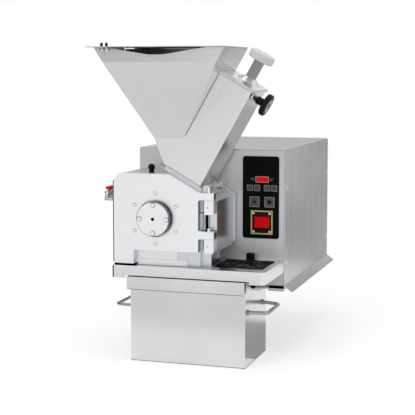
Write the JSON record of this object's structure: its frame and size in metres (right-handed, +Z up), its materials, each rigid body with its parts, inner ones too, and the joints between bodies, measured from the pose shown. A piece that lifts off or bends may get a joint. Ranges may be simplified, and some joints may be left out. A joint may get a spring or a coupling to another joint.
{
  "type": "cutting mill",
  "caption": "Bench-top cutting mill: sheet-metal feed hopper tilting on a cutting chamber with a hinged door, drive housing behind and a pull-out collecting vessel below.",
  "frame": {"origin": "middle of the drive housing's underside, where the mill rests on its bench or stand", "axes": "+X to the right as the user faces the door, +Y from the user towards the rear panel, +Z up"},
  "size_m": [0.4249, 0.7147, 0.7177],
  "materials": {
    "brushed_stainless": "vertically brushed stainless sheet",
    "satin_stainless": "fine satin stainless",
    "polished_stainless": "polished stainless sheet",
    "bright_steel": "bright turned steel",
    "blasted_aluminium": "bead-blasted cast aluminium",
    "tool_steel": "ground tool steel",
    "cast_housing": "painted casting",
    "inverter_case": "moulded case, mostly hollow in reality",
    "board_green": "circuit board",
    "black_plastic": "black moulded plastic",
    "keypad_black": "black membrane face",
    "display_red": "lit red window",
    "key_grey": "grey key",
    "switch_yellow": "yellow bezel",
    "signal_red": "red moulded plastic",
    "pusher_plastic": "machined food-grade plastic",
    "white_plastic": "pale moulded knob",
    "black_rubber": "black rubber"
  },
  "bodies": {
    "housing": {"base_pan": "satin_stainless", "housing_cover": "brushed_stainless", "front_panel": "satin_stainless", "rear_panel": "brushed_stainless", "mains_inlet": "black_plastic", "keypad_panel": "keypad_black", "display_window": "display_red", "switch_frame": "switch_yellow", "switch_body": "black_plastic", "control_board": "board_green", "inverter": "inverter_case", "motor_body": "cast_housing", "adapter_plate": "satin_stainless", "rear_bearing": "tool_steel", "chamber_body": "blasted_aluminium", "fixed_knife_left": "tool_steel", "fixed_knife_right": "tool_steel", "sieve_cassette": "bright_steel", "hinge_block_upper": "blasted_aluminium", "hinge_block_lower": "blasted_aluminium", "hinge_pin_upper": "bright_steel", "hinge_pin_lower": "bright_steel", "latch_base": "satin_stainless", "chamber_flange": "satin_stainless", "tilt_pin": "bright_steel", "table": "polished_stainless", "table_mat": "black_rubber", "vessel_rails": "satin_stainless"},
    "rotor": {"cutting_rotor": "tool_steel", "rotor_shaft": "tool_steel", "shaft_coupling": "tool_steel", "motor_shaft": "tool_steel"},
    "door": {"door_plate": "blasted_aluminium", "bearing_cover": "blasted_aluminium", "front_bearing": "tool_steel", "latch_keeper": "tool_steel"},
    "latch_lever": {"latch_handle": "satin_stainless", "latch_grip": "signal_red"},
    "latch_hold_down": {"latch_arm": "satin_stainless"},
    "feed_hopper": {"hopper": "satin_stainless", "hopper_flange": "satin_stainless", "duct_cap": "satin_stainless", "index_spring": "bright_steel"},
    "lid": {"hopper_lid": "brushed_stainless"},
    "pusher": {"plunger": "pusher_plastic", "plunger_knob": "white_plastic"},
    "index_bolt": {"index_knob": "black_plastic"},
    "ball_knob": {"clamp_knob": "black_plastic"},
    "table_screw": {"table_knob": "black_rubber"},
    "lock_screw": {"vessel_lock_knob": "black_rubber"},
    "rocker": {"rocker_switch": "signal_red"},
    "collecting_vessel": {"vessel": "polished_stainless", "vessel_handle_left": "bright_steel", "vessel_handle_right": "bright_steel"},
    "key_speed_down_cap": {"key_speed_down": "key_grey"},
    "key_speed_up_cap": {"key_speed_up": "key_grey"},
    "key_time_down_cap": {"key_time_down": "key_grey"},
    "key_time_up_cap": {"key_time_up": "key_grey"},
    "key_start_cap": {"key_start": "key_grey"},
    "key_stop_cap": {"key_stop": "key_grey"}
  },
  "joints": [
    {"name": "rotor_spin", "type": "hinge", "parent": "housing", "child": "rotor", "pos_m": [-0.07995, -0.325, 0.184], "axis": [0, 1, 0], "continuous": true},
    {"name": "door_hinge", "type": "hinge", "parent": "housing", "child": "door", "pos_m": [0.04405, -0.4054, 0.184], "axis": [0, 0, 1], "range_deg": [0, 110]},
    {"name": "latch_lever_lift", "type": "hinge", "parent": "housing", "child": "latch_lever", "pos_m": [-0.19925, -0.3586, 0.24], "axis": [-1, 0, 0], "range_deg": [0, 85]},
    {"name": "hold_down_lift", "type": "hinge", "parent": "housing", "child": "latch_hold_down", "pos_m": [-0.19925, -0.3726, 0.235], "axis": [-1, 0, 0], "range_deg": [0, 85]},
    {"name": "hopper_tilt", "type": "hinge", "parent": "housing", "child": "feed_hopper", "pos_m": [0.03418, -0.385, 0.25298], "axis": [0, 1, 0], "range_deg": [0, 60]},
    {"name": "lid_open", "type": "hinge", "parent": "feed_hopper", "child": "lid", "pos_m": [0, -0.2567, 0.566], "axis": [-1, 0, 0], "range_deg": [0, 95]},
    {"name": "pusher_slide", "type": "slide", "parent": "feed_hopper", "child": "pusher", "axis": [0.4924, 0, 0.8704], "range_m": [0, 0.165]},
    {"name": "index_press", "type": "slide", "parent": "feed_hopper", "child": "index_bolt", "axis": [-0.8704, 0, 0.4924], "range_m": [0, 0.004], "stiffness_N_per_m": 800, "springref_m": -0.003, "deforming": ["index_spring"]},
    {"name": "ball_knob_turn", "type": "hinge", "parent": "housing", "child": "ball_knob", "pos_m": [-0.11295, -0.3456, 0.2845], "axis": [0, 0, 1], "continuous": true},
    {"name": "table_knob_turn", "type": "hinge", "parent": "housing", "child": "table_screw", "pos_m": [0.10095, -0.259, 0.08], "axis": [0, 0, 1], "continuous": true},
    {"name": "lock_knob_turn", "type": "hinge", "parent": "housing", "child": "lock_screw", "pos_m": [0.14845, -0.4083, 0.04], "axis": [0, 0, 1], "continuous": true},
    {"name": "rocker_tip", "type": "hinge", "parent": "housing", "child": "rocker", "pos_m": [0.12525, -0.2462, 0.16225], "axis": [1, 0, 0], "range_deg": [0, 14]},
    {"name": "vessel_slide", "type": "slide", "parent": "housing", "child": "collecting_vessel", "axis": [0, -1, 0], "range_m": [0, 0.22]},
    {"name": "key_speed_down_press", "type": "slide", "parent": "housing", "child": "key_speed_down_cap", "axis": [0, 1, 0], "range_m": [0, 0.0006], "stiffness_N_per_m": 1500, "springref_m": -0.0003},
    {"name": "key_speed_up_press", "type": "slide", "parent": "housing", "child": "key_speed_up_cap", "axis": [0, 1, 0], "range_m": [0, 0.0006], "stiffness_N_per_m": 1500, "springref_m": -0.0003},
    {"name": "key_time_down_press", "type": "slide", "parent": "housing", "child": "key_time_down_cap", "axis": [0, 1, 0], "range_m": [0, 0.0006], "stiffness_N_per_m": 1500, "springref_m": -0.0003},
    {"name": "key_time_up_press", "type": "slide", "parent": "housing", "child": "key_time_up_cap", "axis": [0, 1, 0], "range_m": [0, 0.0006], "stiffness_N_per_m": 1500, "springref_m": -0.0003},
    {"name": "key_start_press", "type": "slide", "parent": "housing", "child": "key_start_cap", "axis": [0, 1, 0], "range_m": [0, 0.0006], "stiffness_N_per_m": 1500, "springref_m": -0.0003},
    {"name": "key_stop_press", "type": "slide", "parent": "housing", "child": "key_stop_cap", "axis": [0, 1, 0], "range_m": [0, 0.0006], "stiffness_N_per_m": 1500, "springref_m": -0.0003}
  ],
  "couplings": [
    {"joint": "hold_down_lift", "follows": "latch_lever_lift", "ratio": 1}
  ]
}
